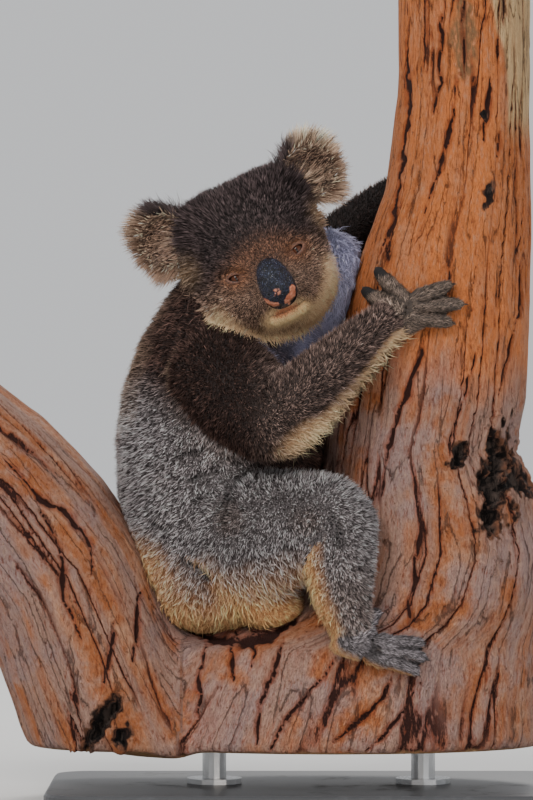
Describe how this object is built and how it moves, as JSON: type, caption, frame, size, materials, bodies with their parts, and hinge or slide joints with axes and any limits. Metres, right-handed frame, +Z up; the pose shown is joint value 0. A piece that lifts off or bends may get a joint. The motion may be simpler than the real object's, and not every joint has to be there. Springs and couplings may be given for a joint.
{
  "type": "koala, still life-size model on a tree fork perch",
  "caption": "Life-size still model of a koala sitting in the fork of a gum tree and hugging its trunk, head turned and tilted, on a plain display stand.",
  "frame": {"origin": "centre of the underside of the display stand's base", "axes": "+Z up; the koala faces the trunk along +X; its right side is -Y, and its head is turned to look along -Y"},
  "size_m": [0.8043, 0.3886, 0.93],
  "materials": {
    "coat": "dense plush grey-brown fur, salt and pepper, matt",
    "pale_coat": "longer cream to buff ear fur, matt",
    "nose": "fine pebbled blue-black skin, slightly damp, with salmon-pink patches low down",
    "eye": "polished dark brown glass eye",
    "claw": "smooth dark horn, satin",
    "bark": "salmon-orange gum bark with dark fissures, matt",
    "base": "board in satin dark grey paint",
    "steel": "turned steel rod, satin"
  },
  "bodies": {
    "root": {"stand_base": "base", "stand_rod_1": "steel", "stand_rod_2": "steel", "perch_trunk": "bark", "perch_limb": "bark", "head": "coat", "nose": "nose", "eye_right": "eye", "eye_left": "eye", "ear_right": "pale_coat", "ear_left": "pale_coat", "torso": "coat", "neck": "coat", "arm_upper_right": "coat", "forearm_right": "coat", "hand_right": "coat", "thigh_right": "coat", "shin_right": "coat", "foot_right": "coat", "arm_upper_left": "coat", "forearm_left": "coat", "hand_left": "coat", "thigh_left": "coat", "shin_left": "coat", "foot_left": "coat"}
  },
  "joints": []
}
